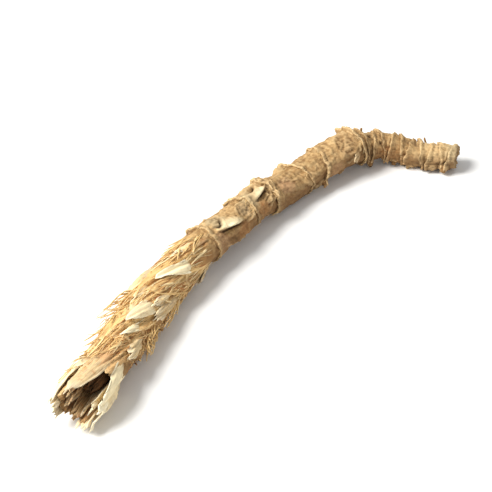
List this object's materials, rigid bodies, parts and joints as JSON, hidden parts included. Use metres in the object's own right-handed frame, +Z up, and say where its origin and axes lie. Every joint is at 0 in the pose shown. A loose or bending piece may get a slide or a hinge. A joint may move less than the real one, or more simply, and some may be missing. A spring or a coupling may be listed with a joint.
{
  "type": "dried calamus root",
  "caption": "Long dried rhizome, bent near its old end, with ringed nodes, torn leaf bases, fibres and root scars, lying down.",
  "frame": {"origin": "centre of the bounding box's bottom face, on the surface that the rhizome lies on", "axes": "+Z up, the old end towards +X, the growing tip towards -X, the bend bulging towards +Y"},
  "size_m": [0.1212, 0.0296, 0.0107],
  "materials": {
    "bark": "dry, matt, wrinkled"
  },
  "bodies": {
    "root": {"rhizome": "bark"}
  },
  "joints": []
}
